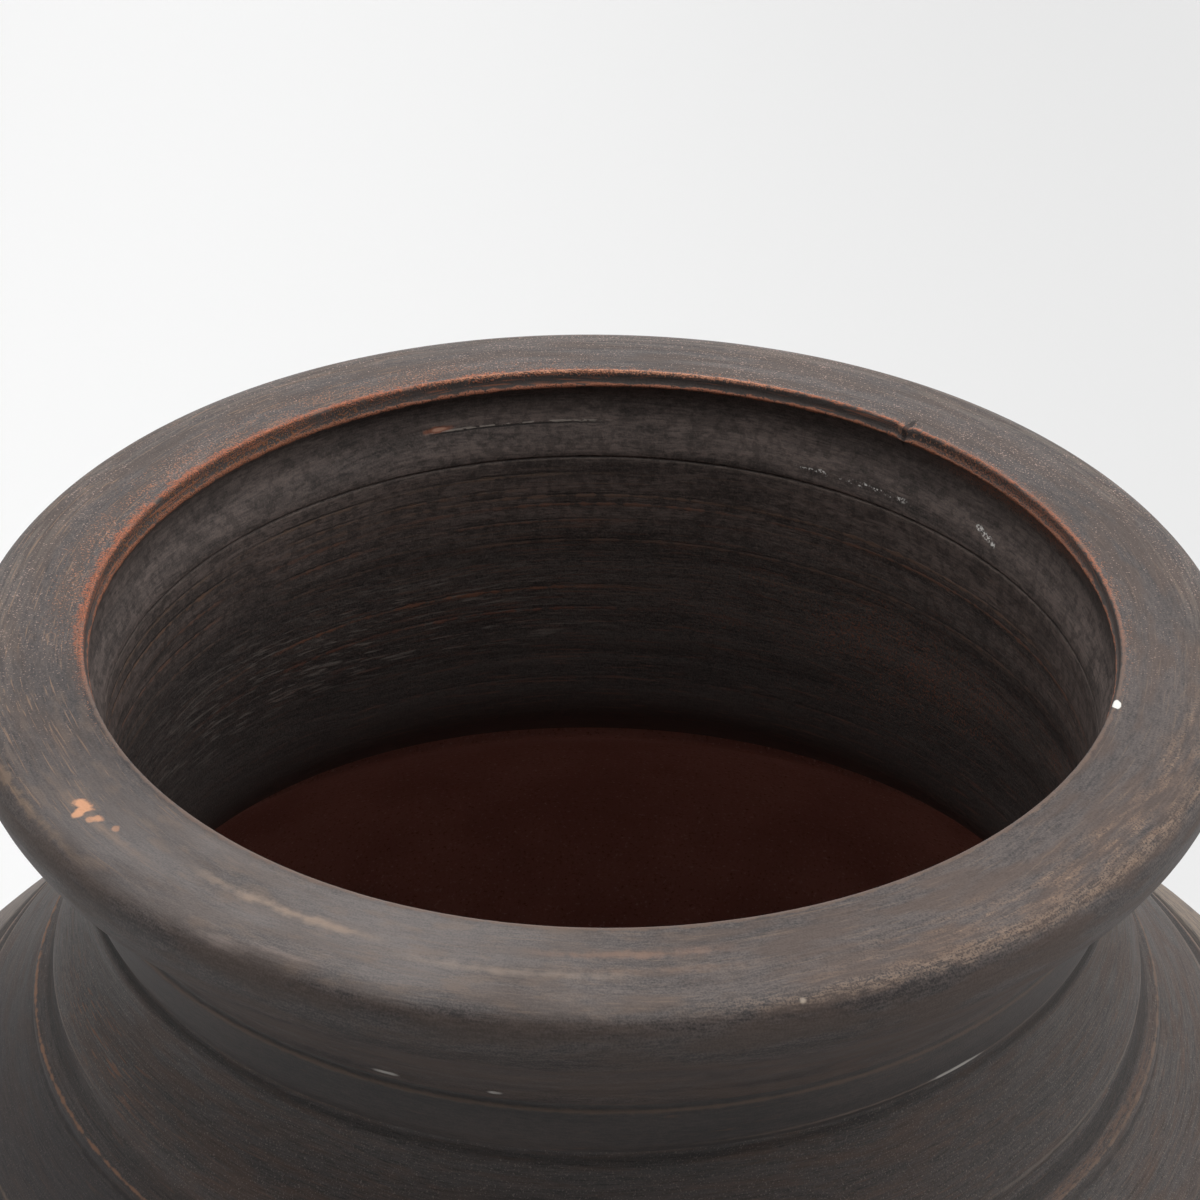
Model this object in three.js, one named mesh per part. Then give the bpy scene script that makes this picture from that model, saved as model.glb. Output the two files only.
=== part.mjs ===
import * as THREE from 'three';

// Planter vase: a wide-bellied earthenware jar with a short neck and a heavy turned-out rim.
// It is thrown in rings that sit on one another with a tongue and rebate, and two of those
// joins show as grooves round the neck. A rubber plug closes the drain hole in the floor.
// Sizes are in millimetres, +Z is up, and the origin is the centre of the resting plane.

// Neck and collar
const neckBore = 102.4;
const collarWall = 7.1;
const collarFootWall = 5.6;
const collarHeight = 13;
const collarSwell = 0.8;

// Rim
const rimHeight = 38;
const rimOverhang = 20.5;
const rimEdgeDrop = 7.3;
const rimUpperRound = 5.5;
const rimLowerRound = 15.5;
const lipStep = 2.9;
const lipBand = 3.4;
const lipBandLean = 0.5;
const lipCove = 21;
const lipCoveAngle = 55;

// Shoulder
const shoulderHeight = 61;
const shoulderSpread = 33.6;
const shoulderSlope = 45;
const shoulderFootWall = 19.2;
const neckStraight = 34;
const neckLean = 2;
const ringLineHeight = 30.2;
const ringLineSpread = 9.6;
const ringLineWidth = 3;
const ringLineDepth = 1.2;

// Body
const bellyRadius = 195;
const bodyWall = 11;
const upperBodyHeight = 97;
const innerLedge = 2;
const innerSlope = 37;
const lowerBodyHeight = 129.5;
const footRadius = 108;
const footWall = 13;
const footSlope = 40;

// Base and drain
const baseThickness = 14;
const baseChamfer = 3;
const footRingWidth = 24;
const footRecess = 2;
const drainRadius = 13;

// Joins between the rings
const tongueHeight = 3;
const fitGap = 0.3;
const rimGroove = 1;
const collarGroove = 1.6;
const shoulderGroove = 1.2;

// Drain plug
const plugClearance = 0.5;
const plugTaper = 0.8;
const plugReach = 12;
const plugFlangeLap = 7;
const plugFlange = 4;
const plugStalk = 5;
const plugStalkHeight = 7;
const plugKnob = 9;
const plugKnobHeight = 7;

// Felt pads
const padRadius = 9;
const padThickness = 2.5;
const padCount = 4;

// Facets round each ring, and steps along each curve of an outline
const ringFacets = 48;
const plugFacets = 32;
const padFacets = 24;
const curveSteps = 6;

const slippedClay = { color: 0x4b4442, roughness: 0.82, metalness: 0 };
const bareClay = { color: 0x6e4031, roughness: 0.9, metalness: 0 };
const rubber = { color: 0x26242a, roughness: 0.75, metalness: 0 };
const felt = { color: 0x3f3b39, roughness: 1, metalness: 0 };

// Each join is a level seam: its height, its outer and inner radius, and the step of the tongue.
function seam(z, outer, wall, groove = 0) {
  return { z, outer, inner: outer - wall, step: outer - wall / 2, groove };
}

const floorLevel = padThickness + baseThickness;
const bellyLevel = floorLevel + lowerBodyHeight;
const shoulderLevel = bellyLevel + upperBodyHeight;
const collarLevel = shoulderLevel + shoulderHeight;
const rimLevel = collarLevel + collarHeight;
const topLevel = rimLevel + rimHeight;

const collarTop = neckBore + collarWall;
const collarFoot = neckBore + collarFootWall;
const shoulderFoot = collarFoot + shoulderSpread;

const footSeam = seam(floorLevel, footRadius, footWall);
const bellySeam = seam(bellyLevel, bellyRadius, bodyWall);
const shoulderSeam = seam(shoulderLevel, shoulderFoot, shoulderFootWall, shoulderGroove);
const collarSeam = seam(collarLevel, collarFoot, collarFootWall, collarGroove);
const rimSeam = seam(rimLevel, collarTop, collarWall, rimGroove);

function direction(degrees) {
  const angle = THREE.MathUtils.degToRad(degrees);
  return new THREE.Vector2(Math.cos(angle), Math.sin(angle));
}

// Smooth stretch of an outline to (r, z). It leaves and arrives at the given angles, counted
// in degrees from straight outwards, and its handles are a share of the straight distance.
function curveTo(outline, r, z, leaveAngle, arriveAngle, share = 0.4) {
  const start = outline.currentPoint;
  const reach = share * Math.hypot(r - start.x, z - start.y);
  const leave = direction(leaveAngle).multiplyScalar(reach);
  const arrive = direction(arriveAngle).multiplyScalar(reach);
  outline.bezierCurveTo(start.x + leave.x, start.y + leave.y, r - arrive.x, z - arrive.y, r, z);
}

// Lower end of a ring: the rebate that clears the tongue below, the seat and its broken edge.
function startOnSeam(outline, below) {
  const rebate = below.z + tongueHeight + fitGap;
  outline.moveTo(below.inner, rebate);
  outline.lineTo(below.step + fitGap, rebate);
  outline.lineTo(below.step + fitGap, below.z);
  outline.lineTo(below.outer - below.groove, below.z);
  if (below.groove > 0) outline.lineTo(below.outer, below.z + below.groove);
}

// Upper end of a ring: the broken edge, the seat and the tongue that the next ring slips over.
function endOnSeam(outline, above) {
  if (above.groove > 0) outline.lineTo(above.outer - above.groove, above.z);
  outline.lineTo(above.step, above.z);
  outline.lineTo(above.step, above.z + tongueHeight);
  outline.lineTo(above.inner, above.z + tongueHeight);
}

function turned(name, outline, finish, facets = ringFacets) {
  const geometry = new THREE.LatheGeometry(outline.getPoints(curveSteps), facets);
  geometry.rotateX(Math.PI / 2);
  const mesh = new THREE.Mesh(geometry, new THREE.MeshStandardMaterial(finish));
  mesh.name = name;
  return mesh;
}

// Floor disc with a turned foot ring, a drain hole, and a rebated edge that carries the wall.
function baseDisc() {
  const underside = padThickness;
  const footInner = footRadius - baseChamfer - footRingWidth;
  const floorTop = footSeam.z + tongueHeight;
  const outline = new THREE.Path();
  outline.moveTo(drainRadius, underside + footRecess);
  outline.lineTo(footInner - footRecess, underside + footRecess);
  outline.lineTo(footInner, underside);
  outline.lineTo(footRadius - baseChamfer, underside);
  outline.lineTo(footRadius, underside + baseChamfer);
  outline.lineTo(footRadius, footSeam.z);
  outline.lineTo(footSeam.step, footSeam.z);
  outline.lineTo(footSeam.step, floorTop);
  outline.lineTo(drainRadius, floorTop);
  outline.closePath();
  return turned('base_disc', outline, bareClay);
}

// Round wall from the foot to the widest line, where it stands upright.
function lowerBody() {
  const outline = new THREE.Path();
  startOnSeam(outline, footSeam);
  curveTo(outline, bellySeam.outer, bellySeam.z, footSlope, 90);
  endOnSeam(outline, bellySeam);
  const innerFoot = footSeam.z + tongueHeight + fitGap;
  curveTo(outline, footSeam.inner, innerFoot, -90, footSlope - 180);
  return turned('lower_body', outline, slippedClay);
}

// The belly turns in to the shoulder's slope. Inside, a small ledge lies under the shoulder ring.
function upperBody() {
  const outline = new THREE.Path();
  startOnSeam(outline, bellySeam);
  curveTo(outline, shoulderSeam.outer, shoulderSeam.z - shoulderSeam.groove, 90, 180 - shoulderSlope);
  endOnSeam(outline, shoulderSeam);
  outline.lineTo(shoulderSeam.inner, shoulderSeam.z);
  outline.lineTo(shoulderSeam.inner + innerLedge, shoulderSeam.z - innerLedge);
  curveTo(outline, bellySeam.inner, bellySeam.z + tongueHeight + fitGap, -innerSlope, -90);
  return turned('upper_body', outline, slippedClay);
}

// Hollow flare from the body up to the neck, with one incised ring line.
function shoulder() {
  const lineLevel = shoulderSeam.z + ringLineHeight;
  const lineRadius = collarFoot + ringLineSpread;
  const lineSlope = 90 + shoulderSlope / 2;
  const outline = new THREE.Path();
  startOnSeam(outline, shoulderSeam);
  curveTo(outline, lineRadius, lineLevel - ringLineWidth / 2, 180 - shoulderSlope, lineSlope);
  outline.lineTo(lineRadius - ringLineDepth, lineLevel);
  const upperEdge = lineRadius - ringLineWidth * Math.tan(THREE.MathUtils.degToRad(lineSlope - 90));
  outline.lineTo(upperEdge, lineLevel + ringLineWidth / 2);
  curveTo(outline, collarSeam.outer, collarSeam.z - collarSeam.groove, lineSlope, 90 + neckLean);
  endOnSeam(outline, collarSeam);
  outline.lineTo(neckBore, collarSeam.z - neckStraight);
  const innerFoot = shoulderSeam.z + tongueHeight + fitGap;
  curveTo(outline, shoulderSeam.inner, innerFoot, -90, -innerSlope);
  return turned('shoulder', outline, slippedClay);
}

// Short ring that swells a little between its two grooves. A quadratic curve reaches half way
// to its handle, so the handle stands out by twice the swell.
function neckCollar() {
  const outline = new THREE.Path();
  startOnSeam(outline, collarSeam);
  const handle = (collarSeam.outer + rimSeam.outer) / 2 + 2 * collarSwell;
  const handleLevel = (collarSeam.z + rimSeam.z) / 2;
  outline.quadraticCurveTo(handle, handleLevel, rimSeam.outer, rimSeam.z - rimSeam.groove);
  endOnSeam(outline, rimSeam);
  outline.closePath();
  return turned('neck_collar', outline, slippedClay);
}

// Turned-out rim: a sloping underside tangent to a round edge, a flat top that falls slightly
// outwards, a narrow upright band inside the lip and a cove below it.
function rim() {
  const edgeLevel = topLevel - rimEdgeDrop;
  const widest = rimSeam.outer + rimOverhang;
  const lowerCentre = widest - rimLowerRound;
  const upperCentre = widest - rimUpperRound;
  const lip = neckBore + lipStep;
  const outline = new THREE.Path();
  startOnSeam(outline, rimSeam);
  const heel = outline.currentPoint;
  const across = heel.x - lowerCentre;
  const down = heel.y - edgeLevel;
  const tangent = Math.atan2(down, across) + Math.acos(rimLowerRound / Math.hypot(across, down));
  outline.absarc(lowerCentre, edgeLevel, rimLowerRound, tangent, 0, false);
  outline.absarc(upperCentre, edgeLevel, rimUpperRound, 0, Math.PI / 2, false);
  outline.lineTo(lip, topLevel);
  outline.lineTo(lip - lipBandLean, topLevel - lipBand);
  curveTo(outline, neckBore, topLevel - lipCove, -lipCoveAngle, -90);
  outline.closePath();
  return turned('rim', outline, slippedClay);
}

// Tapered stopper: its flange lies on the floor, its stem fills the hole, its knob lifts it out.
function drainPlug() {
  const floorTop = footSeam.z + tongueHeight;
  const stem = drainRadius - plugClearance;
  const flangeTop = floorTop + plugFlange;
  const knobLevel = flangeTop + plugStalkHeight;
  const outline = new THREE.Path();
  outline.moveTo(0, floorTop - plugReach);
  outline.lineTo(stem - plugTaper, floorTop - plugReach);
  outline.lineTo(stem, floorTop);
  outline.lineTo(drainRadius + plugFlangeLap, floorTop);
  outline.lineTo(drainRadius + plugFlangeLap, floorTop + plugFlange / 2);
  outline.lineTo(drainRadius + plugFlangeLap - plugFlange / 2, flangeTop);
  outline.lineTo(plugStalk, flangeTop);
  outline.lineTo(plugStalk, knobLevel);
  outline.lineTo(plugKnob, knobLevel + plugKnobHeight / 2);
  curveTo(outline, 0, knobLevel + plugKnobHeight, 90, 180);
  return turned('drain_plug', outline, rubber, plugFacets);
}

// Round pads under the middle of the foot ring, evenly spaced.
function feltPad(index) {
  const geometry = new THREE.CylinderGeometry(padRadius, padRadius, padThickness, padFacets);
  geometry.rotateX(Math.PI / 2);
  const mesh = new THREE.Mesh(geometry, new THREE.MeshStandardMaterial(felt));
  const around = ((index + 0.5) / padCount) * 2 * Math.PI;
  const ringMiddle = footRadius - baseChamfer - footRingWidth / 2;
  mesh.position.set(ringMiddle * Math.cos(around), ringMiddle * Math.sin(around), padThickness / 2);
  mesh.name = `felt_pad_${index + 1}`;
  return mesh;
}

const vase = new THREE.Group();
vase.add(baseDisc(), lowerBody(), upperBody(), shoulder(), neckCollar(), rim(), drainPlug());
for (let index = 0; index < padCount; index += 1) vase.add(feltPad(index));

export default vase;
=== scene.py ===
import math

import bmesh
import bpy
from mathutils import Matrix, Vector, noise
from mathutils.geometry import interpolate_bezier


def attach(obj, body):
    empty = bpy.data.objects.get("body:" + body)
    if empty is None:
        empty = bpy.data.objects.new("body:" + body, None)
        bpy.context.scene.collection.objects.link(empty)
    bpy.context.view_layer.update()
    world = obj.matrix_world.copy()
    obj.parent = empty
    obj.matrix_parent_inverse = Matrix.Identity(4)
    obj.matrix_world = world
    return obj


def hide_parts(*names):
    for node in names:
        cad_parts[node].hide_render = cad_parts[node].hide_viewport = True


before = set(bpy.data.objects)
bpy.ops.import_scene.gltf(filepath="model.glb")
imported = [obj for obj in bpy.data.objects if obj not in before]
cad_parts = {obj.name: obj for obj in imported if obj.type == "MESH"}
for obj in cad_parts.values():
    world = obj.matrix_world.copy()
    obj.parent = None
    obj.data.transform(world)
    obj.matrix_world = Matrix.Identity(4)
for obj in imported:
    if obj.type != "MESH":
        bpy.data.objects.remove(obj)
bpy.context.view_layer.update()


# Base disc: the floor of the pot, thrown flat from red earthenware clay and left bare. It has a
# turned foot ring, a drain hole and a rebated edge, and the wall was luted onto it while the clay
# was leather hard.
mm = 0.001
foot_radius = 108
foot_chamfer = 3
foot_ring_inner = 81
foot_recess = 2
drain_radius = 13
underside = 2.5
wall_seat = 16.5
floor_top = 19.5
wall_step = 101.5


def linear(code):
    """A colour written as an sRGB hex code, as linear red, green, blue and alpha."""
    shares = [int(code[place:place + 2], 16) / 255 for place in (1, 3, 5)]
    return (*[s / 12.92 if s <= 0.04045 else ((s + 0.055) / 1.055) ** 2.4 for s in shares], 1)


def node(tree, kind, inputs, output=0, **settings):
    """Adds a shader node with its settings, sets or links its inputs, and returns one of its outputs."""
    made = tree.nodes.new("ShaderNode" + kind)
    for setting, value in settings.items():
        setattr(made, setting, value)
    for socket, value in inputs.items():
        if isinstance(value, bpy.types.NodeSocket):
            tree.links.new(value, made.inputs[socket])
        else:
            made.inputs[socket].default_value = value
    return made.outputs[output] if made.outputs else None


def fresh_material(name):
    """A new material, its empty tree, and the place on the surface in millimetres."""
    material = bpy.data.materials.new(name)
    material.use_nodes = True
    tree = material.node_tree
    tree.nodes.clear()
    place = node(tree, "TexCoord", {}, "Object")
    spot = node(tree, "VectorMath", {0: place, "Scale": 1 / mm}, operation="SCALE")
    return material, tree, spot


def surfaced(tree, looks, relief, depth=1):
    """Ends a material: its looks, with a relief of so many millimetres, go to the surface."""
    bump = node(tree, "Bump", {"Height": relief, "Distance": depth * mm, "Strength": 1}, "Normal")
    surface = node(tree, "BsdfPrincipled", {**looks, "Normal": bump})
    node(tree, "OutputMaterial", {"Surface": surface})


def turned(outline, facets):
    """Turns an outline of (radius, height) points in millimetres into a closed shape on the axis."""
    shape = bmesh.new()
    corners = [shape.verts.new((r * mm, 0, z * mm)) for r, z in outline]
    sides = [shape.edges.new(pair) for pair in zip(corners, corners[1:])]
    if outline[0][0] > 0:
        sides.append(shape.edges.new((corners[-1], corners[0])))
    bmesh.ops.spin(
        shape, geom=corners + sides, cent=(0, 0, 0), axis=(0, 0, 1), angle=2 * math.pi,
        steps=facets, use_merge=True,
    )
    bmesh.ops.remove_doubles(shape, verts=shape.verts, dist=0.001 * mm)
    bmesh.ops.recalc_face_normals(shape, faces=shape.faces)
    return shape


def eased(shape, width, sharper_than):
    """Rounds over every edge of a shape that is sharper than an angle in degrees."""
    limit = math.radians(sharper_than)
    edges = [edge for edge in shape.edges if edge.calc_face_angle(0) > limit]
    bmesh.ops.bevel(
        shape, geom=edges, offset=width * mm, segments=3, profile=0.5, affect="EDGES",
        material=-1, clamp_overlap=True,
    )


def made_piece(name, shape, *finishes):
    """Puts a finished shape into the scene as a smooth-shaded piece with its materials."""
    mesh = bpy.data.meshes.new(name)
    shape.to_mesh(mesh)
    shape.free()
    mesh.shade_smooth()
    mesh.set_sharp_from_angle(angle=math.radians(50))
    for finish in finishes:
        mesh.materials.append(finish)
    piece = bpy.data.objects.new(name, mesh)
    bpy.context.scene.collection.objects.link(piece)
    return piece


# Bare fired earthenware, thrown and turned: dull rosy-brown clay with paler and darker clouds from
# the kiln, sandy grit that shows as fine specks, and faint turning rings. It has no gloss at all. The
# foot, open to the flame, is fired a warmer orange than the inside.
bare_clay, clay_tree, clay_spot = fresh_material("bare_fired_earthenware")
cloud_size = 35
clay_cloud = node(
    clay_tree, "TexNoise", {"Vector": clay_spot, "Scale": 1 / cloud_size, "Detail": 3}, "Fac",
)
grit_size = 0.8
clay_grit = node(
    clay_tree, "TexNoise", {"Vector": clay_spot, "Scale": 1 / grit_size, "Detail": 2}, "Fac",
)
clay_flat = node(clay_tree, "VectorMath", {0: clay_spot, 1: (1, 1, 0)}, operation="MULTIPLY")
clay_radius = node(clay_tree, "VectorMath", {0: clay_flat}, "Value", operation="LENGTH")
clay_height = node(clay_tree, "SeparateXYZ", {0: clay_spot}, "Z")
turning_pitch = 2.6
turning_place = node(clay_tree, "Math", {0: clay_radius, 1: clay_height}, operation="SUBTRACT")
turning = node(
    clay_tree, "TexNoise", {"W": turning_place, "Scale": 1 / turning_pitch, "Detail": 2},
    "Fac", noise_dimensions="1D",
)
clay_shade = node(
    clay_tree, "MapRange", {"Value": clay_cloud, "From Min": 0.3, "From Max": 0.7},
    interpolation_type="SMOOTHSTEP",
)
clay_colour = node(
    clay_tree, "Mix", {0: clay_shade, 6: linear("#9c7971"), 7: linear("#ad8b82")}, 2,
    data_type="RGBA",
)
pale_grit = node(clay_tree, "MapRange", {"Value": clay_grit, "From Min": 0.62, "From Max": 0.75})
dark_grit = node(clay_tree, "MapRange", {"Value": clay_grit, "From Min": 0.4, "From Max": 0.28})
on_foot = node(
    clay_tree, "MapRange",
    {"Value": clay_height, "From Min": floor_top - 0.5, "From Max": wall_seat, "To Max": 0.55},
)
for amount, code in ((pale_grit, "#c5aba1"), (dark_grit, "#7f6058"), (on_foot, "#a5684c")):
    clay_colour = node(
        clay_tree, "Mix", {0: amount, 6: clay_colour, 7: linear(code)}, 2, data_type="RGBA",
    )
clay_rings = node(clay_tree, "Math", {0: turning, 1: 0.25}, operation="MULTIPLY")
clay_relief = node(clay_tree, "Math", {0: clay_grit, 1: 0.18, 2: clay_rings}, operation="MULTIPLY_ADD")
surfaced(clay_tree, {"Base Color": clay_colour, "Roughness": 0.92, "IOR": 1.45}, clay_relief)

base_outline = [
    (drain_radius, underside + foot_recess),
    (foot_ring_inner - foot_recess, underside + foot_recess),
    (foot_ring_inner, underside),
    (foot_radius - foot_chamfer, underside),
    (foot_radius, underside + foot_chamfer),
    (foot_radius, wall_seat),
    (wall_step, wall_seat),
    (wall_step, floor_top),
    (drain_radius, floor_top),
]
base_shape = turned(base_outline, 128)
eased(base_shape, 0.7, 30)
base_disc = made_piece("base_disc_turned", base_shape, bare_clay)
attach(base_disc, "pot")
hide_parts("base_disc")


# Felt pads: four discs punched from pressed grey wool felt and glued under the foot ring, so that
# the pot doesn't scratch what it stands on.
pad_radius = 9
pad_thickness = 2.5
pad_ring = 93
pad_count = 4

# Pressed wool felt: short tangled fibres that give a soft mottled grey with no gloss. The fibres are
# drawn 0.3 mm apart, coarser than real wool, so that they show.
felt, felt_tree, felt_spot = fresh_material("pressed_wool_felt")
fibre_spacing = 0.3
fibres = node(
    felt_tree, "TexNoise",
    {"Vector": felt_spot, "Scale": 1 / fibre_spacing, "Detail": 4, "Distortion": 1.5}, "Fac",
)
felt_colour = node(
    felt_tree, "Mix", {0: fibres, 6: linear("#2c2928"), 7: linear("#57514e")}, 2,
    data_type="RGBA",
)
felt_looks = {"Base Color": felt_colour, "Roughness": 1, "Sheen Weight": 0.3, "Sheen Roughness": 0.6}
surfaced(felt_tree, felt_looks, fibres, 0.4)

pad_outline = [
    (0, 0), (pad_radius - 0.9, 0), (pad_radius - 0.25, 0.35), (pad_radius, 1.1),
    (pad_radius - 0.05, 1.9), (pad_radius - 0.4, pad_thickness), (0, pad_thickness),
]
for index in range(pad_count):
    pad_shape = turned(pad_outline, 48)
    around = math.radians(360 * (index + 0.5) / pad_count)
    pad_place = Vector((pad_ring * math.cos(around), pad_ring * math.sin(around), 0)) * mm
    bmesh.ops.translate(pad_shape, verts=pad_shape.verts, vec=pad_place)
    pad = made_piece(f"felt_disc_{index + 1}", pad_shape, felt)
    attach(pad, "pot")
    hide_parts(f"felt_pad_{index + 1}")


# Drain plug: a stopper moulded in one piece from dark rubber. Its tapered stem fills the drain hole,
# its flange seals on the floor, and the knob on its stalk is what a hand pulls to lift it out.
plug_outline = [
    (0, 7.5), (10.9, 7.5), (11.5, 7.8), (11.8, 8.6), (12.0, 11.4), (12.3, 11.9), (12.35, 12.7),
    (12.1, 13.2), (12.3, 16.2), (12.5, 16.8), (12.45, 17.6), (12.4, 19.5), (19.6, 19.5), (20, 19.9),
    (20, 21.2), (19.6, 22.0), (18.4, 23.0), (17.0, 23.4), (7.6, 23.5), (6.2, 23.9), (5.3, 24.9),
    (5, 26.2), (5, 29.4), (5.4, 30.4), (6.6, 31.0), (8.2, 32.2), (8.9, 33.4), (9, 34.4), (8.5, 35.7),
    (7.1, 36.7), (4.4, 37.4), (0, 37.5),
]

# Moulded natural rubber, left matt by a sand-blasted mould: near black with a dull sheen, a faint
# grain of 0.35 mm and a pale bloom that has dusted the surface in soft patches.
rubber, rubber_tree, rubber_spot = fresh_material("moulded_matt_rubber")
mould_grain = 0.35
rubber_grain = node(
    rubber_tree, "TexNoise",
    {"Vector": rubber_spot, "Scale": 1 / mould_grain, "Detail": 1}, "Fac",
)
bloom_size = 6
rubber_bloom = node(
    rubber_tree, "TexNoise",
    {"Vector": rubber_spot, "Scale": 1 / bloom_size, "Detail": 4}, "Fac",
)
rubber_dust = node(rubber_tree, "MapRange", {"Value": rubber_bloom, "From Min": 0.4, "From Max": 0.75})
rubber_colour = node(
    rubber_tree, "Mix", {0: rubber_dust, 6: linear("#232126"), 7: linear("#3d3a3c")}, 2,
    data_type="RGBA",
)
rubber_rough = node(rubber_tree, "MapRange", {"Value": rubber_dust, "To Min": 0.55, "To Max": 0.8})
rubber_looks = {"Base Color": rubber_colour, "Roughness": rubber_rough, "IOR": 1.52}
surfaced(rubber_tree, rubber_looks, rubber_grain, 0.06)

drain_plug = made_piece("drain_plug_moulded", turned(plug_outline, 96), rubber)
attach(drain_plug, "plug")
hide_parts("drain_plug")


# Lower body: the round wall from the foot to the widest line, a thrown ring of the same clay. It was
# fitted over the base disc's rebate, brushed black outside as the pot turned, and left bare inside.
belly_radius = 195
belly_level = 146
tongue = 3
lower_wall_step = 189.5


def swept(start, end, leave, arrive, count, share=0.4):
    """Points of a smooth stretch of outline that leaves and arrives at angles in degrees."""
    first, last = Vector((*start, 0)), Vector((*end, 0))
    reach = share * (last - first).length
    leaving = Vector((math.cos(math.radians(leave)), math.sin(math.radians(leave)), 0)) * reach
    arriving = Vector((math.cos(math.radians(arrive)), math.sin(math.radians(arrive)), 0)) * reach
    points = interpolate_bezier(first, first + leaving, last - arriving, last, count)
    return [(point.x, point.y) for point in points]


def bell(value, middle, spread):
    """1 at the middle, falling off smoothly on both sides."""
    return math.exp(-((value - middle) / spread) ** 2)


def hand_thrown(shape):
    """Gives a turned ring the unevenness of hand throwing. It depends only on place, so that neighbouring
    rings still meet. It also holds what crosses a join: the dip of the shoulder join, the fuller wall on
    the right, the line pressed in under the rim and the groove that runs out at the front."""
    lean_amount, ridge_amount, wander_amount = 0.3, 0.16, 0.35
    lean_height, ridge_height, wander_height = 90, 6.5, 25
    join_level, join_spread, join_dip = 243, 9, 2.2
    swell_level, swell_spread, swell = 222, 15, 1.9
    line_level, line_spread, line_depth, line_side = 316.8, 0.9, 0.6, 107
    groove_level, groove_spread, groove_fill, groove_side = 302.9, 1.6, 0.5, 106.3
    line_way = Vector((math.cos(math.radians(235)), math.sin(math.radians(235))))
    outside_from, outside_over = 126, 8
    dip_share, swell_share = 1.05, 0.7
    for corner in shape.verts:
        flat = Vector((corner.co.x, corner.co.y))
        level = corner.co.z / mm
        out = flat.normalized()
        lean = lean_amount * noise.noise(Vector((out.x * 1.3, out.y * 1.3, level / lean_height)))
        ridges = ridge_amount * noise.noise(Vector((out.x * 0.7 + 9, out.y * 0.7, level / ridge_height)))
        wander = wander_amount * noise.noise(Vector((out.x * 1.1, out.y * 1.1 + 5, level / wander_height)))
        outside = min(max((flat.length / mm - outside_from) / outside_over, 0), 1)
        dip = -join_dip * out.x * outside * bell(level, join_level, join_spread)
        fuller = swell * (1 + out.x) * bell(level, swell_level, swell_spread)
        pressed = 0
        if flat.length > line_side * mm:
            pressed = line_depth * max(out.dot(line_way), 0) ** 2
        pressed *= bell(level, line_level, line_spread)
        if flat.length > groove_side * mm:
            filled = bell(level, groove_level, groove_spread)
            pressed -= groove_fill * max(-out.y, 0) ** 4 * filled
        flat += out * (lean + ridges - dip_share * dip + swell_share * fuller - pressed) * mm
        corner.co = (flat.x, flat.y, corner.co.z + (wander + dip + swell_share * fuller) * mm)


def ring_piece(name, outline, outside, inside, facets=160, rounds=1, worked=None):
    """A thrown ring: turned, worked and made uneven by hand, with crisp seats and a finish on each side.
    It keeps where each point was turned, so that the wear on its ridges follows them."""
    shape = turned(outline, facets)
    as_turned = shape.verts.layers.float_vector.new("as_turned")
    for corner in shape.verts:
        corner[as_turned] = (math.hypot(corner.co.x, corner.co.y) / mm, 0, corner.co.z / mm)
    crease = shape.edges.layers.float.new("crease_edge")
    for edge in shape.edges:
        if edge.calc_face_angle(0) > math.radians(50):
            edge[crease] = 1
    for face in shape.faces:
        middle = face.calc_center_median()
        inward = face.normal.x * middle.x + face.normal.y * middle.y < 0
        face.material_index = 1 if inward else 0
    if worked:
        worked(shape)
    hand_thrown(shape)
    piece = made_piece(name, shape, outside, inside)
    if rounds:
        rounding = piece.modifiers.new("rounding", "SUBSURF")
        rounding.levels = rounds
        rounding.render_levels = rounds
    return piece


def brushed(coat, width, reach, detail=2, seed=0):
    """A pattern of brush lines round the pot, about so many millimetres wide and long."""
    tree = coat["tree"]
    usual_radius = 110
    girth = usual_radius / reach
    level = node(tree, "Math", {0: coat["swayed_height"], 1: 1 / width}, operation="MULTIPLY")
    layer = node(tree, "CombineXYZ", {0: seed, 1: 2 * seed, 2: level})
    place = node(
        tree, "VectorMath", {0: coat["around"], 1: (girth, girth, 0), 2: layer},
        operation="MULTIPLY_ADD",
    )
    depth = node(tree, "Math", {0: coat["swayed_radius"], 1: 1 / width}, operation="MULTIPLY")
    return node(
        tree, "TexNoise", {"Vector": place, "W": depth, "Scale": 1, "Detail": detail}, "Fac",
        noise_dimensions="4D",
    )


def shown(coat, *parts):
    """How much of a layer shows at each place: its parts multiplied. A part is an amount, or a value with
    a low and a high, which counts for nothing at low and for all at high. The value may name a pattern."""
    amount = None
    for part in parts:
        if isinstance(part, tuple):
            value, low, high = part
            value = coat[value] if isinstance(value, str) else value
            part = node(
                coat["tree"], "MapRange", {"Value": value, "From Min": low, "From Max": high},
                interpolation_type="SMOOTHSTEP",
            )
        if amount is None:
            amount = part
        else:
            amount = node(coat["tree"], "Math", {0: amount, 1: part}, operation="MULTIPLY")
    return amount


def lines(coat, width, reach, detail, seed, low, high):
    """The brush lines that stand out: none where the pattern is under low, all where it is over high."""
    return shown(coat, (brushed(coat, width, reach, detail, seed), low, high))


def band(coat, low, high, soft):
    """All between two heights, fading over soft at both ends."""
    return shown(coat, ("height", low - soft, low + soft), ("height", high + soft, high - soft))


def lay(coat, code, rough, *parts, relief=0):
    """Lays a colour on the coat as far as the parts let it show, with its roughness and its relief in
    millimetres."""
    tree = coat["tree"]
    amount = shown(coat, *parts)
    coat["colour"] = node(
        tree, "Mix", {0: amount, 6: coat["colour"], 7: linear(code)}, 2, data_type="RGBA",
    )
    coat["rough"] = node(tree, "Mix", {0: amount, 2: coat["rough"], 3: rough})
    if relief:
        coat["relief"] = node(
            tree, "Math", {0: amount, 1: relief, 2: coat["relief"]}, operation="MULTIPLY_ADD",
        )


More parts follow.
